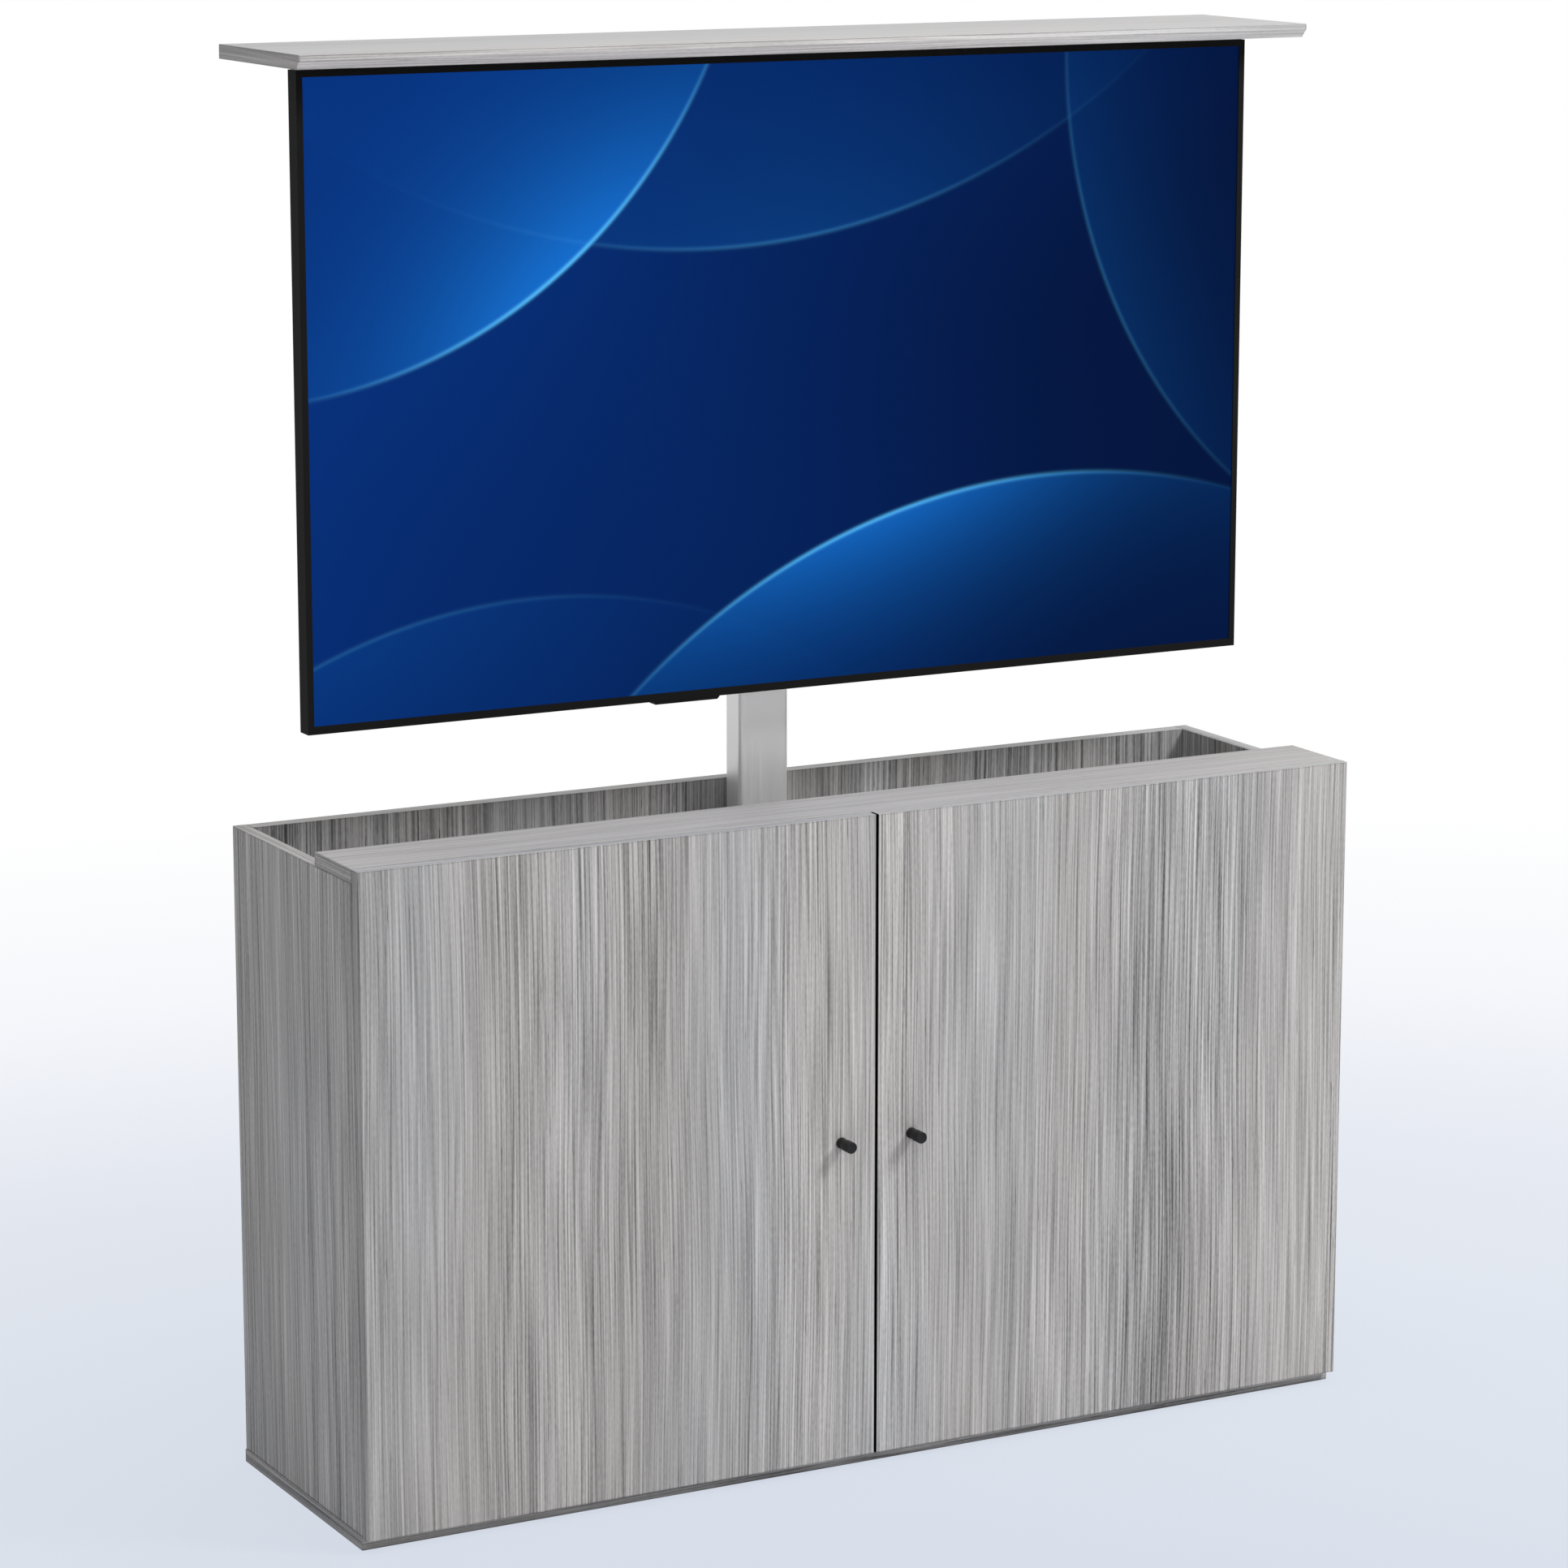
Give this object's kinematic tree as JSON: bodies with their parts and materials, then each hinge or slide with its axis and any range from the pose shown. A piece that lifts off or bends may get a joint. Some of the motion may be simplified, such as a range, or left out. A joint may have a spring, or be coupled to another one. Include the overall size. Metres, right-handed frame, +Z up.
{
  "type": "tv lift cabinet",
  "caption": "Low cabinet with overlay doors; a telescoping motor column raises a flat television and the lid above it out of a slot in the top.",
  "frame": {"origin": "centre of the base panel's underside, on the floor", "axes": "+Z up, the doors face -Y, +X to the right of someone who faces the doors"},
  "size_m": [1.202, 0.358, 1.5365],
  "materials": {
    "laminate": "satin",
    "laminate_shade": "satin",
    "knob_black": "satin",
    "hinge_nickel": "satin",
    "link_steel": "satin",
    "column_silver": "satin",
    "dark_steel": "satin",
    "black_plastic": "matte",
    "tray_plastic": "matte",
    "tv_frame_black": "satin",
    "screen_glass": "gloss",
    "nut_brass": "satin"
  },
  "bodies": {
    "cabinet": {"base_panel": "laminate_shade", "left_side_panel": "laminate", "right_side_panel": "laminate", "front_top_rail": "laminate", "back_panel": "laminate_shade", "cable_grommet": "black_plastic", "left_lower_hinge_plate": "hinge_nickel", "left_lower_hinge_arm": "hinge_nickel", "left_upper_hinge_plate": "hinge_nickel", "left_upper_hinge_arm": "hinge_nickel", "right_lower_hinge_plate": "hinge_nickel", "right_lower_hinge_arm": "hinge_nickel", "right_upper_hinge_plate": "hinge_nickel", "right_upper_hinge_arm": "hinge_nickel", "outer_column": "column_silver", "outer_slide_collar": "black_plastic", "lift_base_plate": "dark_steel", "lift_gearbox": "dark_steel", "lift_motor": "link_steel", "column_bracket": "dark_steel", "control_box": "black_plastic", "power_inlet": "black_plastic"},
    "middle_stage": {"middle_column": "column_silver", "middle_slide_collar": "black_plastic", "middle_nut_block": "nut_brass"},
    "inner_stage": {"inner_column": "column_silver", "inner_nut_block": "nut_brass", "column_head": "dark_steel", "mount_upright": "dark_steel", "lower_mount_rail": "dark_steel", "upper_mount_rail": "dark_steel", "left_tv_arm": "dark_steel", "right_tv_arm": "dark_steel", "tv_frame": "tv_frame_black", "tv_screen": "screen_glass", "tv_backlight_tray": "tray_plastic", "tv_rear_cover": "black_plastic", "tv_receiver": "tv_frame_black", "lid_plate": "dark_steel", "lid_panel": "laminate"},
    "lower_drive": {"lower_spindle": "link_steel"},
    "upper_drive": {"upper_spindle": "link_steel"},
    "left_outer_links": {"left_lower_hinge_outer_link": "link_steel", "left_upper_hinge_outer_link": "link_steel"},
    "left_inner_links": {"left_lower_hinge_inner_link": "link_steel", "left_upper_hinge_inner_link": "link_steel"},
    "left_leaf": {"left_door": "laminate", "left_knob": "knob_black", "left_lower_hinge_cup": "hinge_nickel", "left_upper_hinge_cup": "hinge_nickel"},
    "right_outer_links": {"right_lower_hinge_outer_link": "link_steel", "right_upper_hinge_outer_link": "link_steel"},
    "right_inner_links": {"right_lower_hinge_inner_link": "link_steel", "right_upper_hinge_inner_link": "link_steel"},
    "right_leaf": {"right_door": "laminate", "right_knob": "knob_black", "right_lower_hinge_cup": "hinge_nickel", "right_upper_hinge_cup": "hinge_nickel"}
  },
  "joints": [
    {"name": "middle_slide", "type": "slide", "parent": "cabinet", "child": "middle_stage", "axis": [0, 0, 1], "range_m": [-0.40535, 0]},
    {"name": "inner_slide", "type": "slide", "parent": "middle_stage", "child": "inner_stage", "axis": [0, 0, 1], "range_m": [-0.40535, 0]},
    {"name": "lower_spindle_spin", "type": "hinge", "parent": "cabinet", "child": "lower_drive", "pos_m": [-0.012, 0.1, 0.3], "axis": [0, 0, 1], "range_deg": [-12161, 0]},
    {"name": "upper_spindle_spin", "type": "hinge", "parent": "middle_stage", "child": "upper_drive", "pos_m": [0.012, 0.1, 0.7], "axis": [0, 0, 1], "range_deg": [-12161, 0]},
    {"name": "left_outer_link_turn", "type": "hinge", "parent": "cabinet", "child": "left_outer_links", "pos_m": [-0.5788, -0.1536, 0.36975], "axis": [0, 0, 1], "range_deg": [0, 48.1]},
    {"name": "left_door_turn", "type": "hinge", "parent": "left_outer_links", "child": "left_leaf", "pos_m": [-0.5918, -0.1654, 0.36975], "axis": [0, 0, 1], "range_deg": [-143, 0]},
    {"name": "left_inner_link_turn", "type": "hinge", "parent": "cabinet", "child": "left_inner_links", "pos_m": [-0.5582, -0.1523, 0.36975], "axis": [0, 0, 1], "range_deg": [0, 33]},
    {"name": "right_outer_link_turn", "type": "hinge", "parent": "cabinet", "child": "right_outer_links", "pos_m": [0.5788, -0.1536, 0.36975], "axis": [0, 0, 1], "range_deg": [-48.1, 0]},
    {"name": "right_door_turn", "type": "hinge", "parent": "right_outer_links", "child": "right_leaf", "pos_m": [0.5918, -0.1654, 0.36975], "axis": [0, 0, 1], "range_deg": [0, 143]},
    {"name": "right_inner_link_turn", "type": "hinge", "parent": "cabinet", "child": "right_inner_links", "pos_m": [0.5582, -0.1523, 0.36975], "axis": [0, 0, 1], "range_deg": [-33, 0]}
  ],
  "couplings": [
    {"joint": "inner_slide", "follows": "middle_slide", "ratio": 1},
    {"joint": "lower_spindle_spin", "follows": "middle_slide", "rad_per_m": 523.6},
    {"joint": "upper_spindle_spin", "follows": "middle_slide", "rad_per_m": 523.6},
    {"joint": "left_outer_link_turn", "follows": "left_door_turn", "ratio": -0.33566},
    {"joint": "left_inner_link_turn", "follows": "left_door_turn", "ratio": -0.22995},
    {"joint": "right_outer_link_turn", "follows": "right_door_turn", "ratio": -0.33566},
    {"joint": "right_inner_link_turn", "follows": "right_door_turn", "ratio": -0.22995}
  ]
}
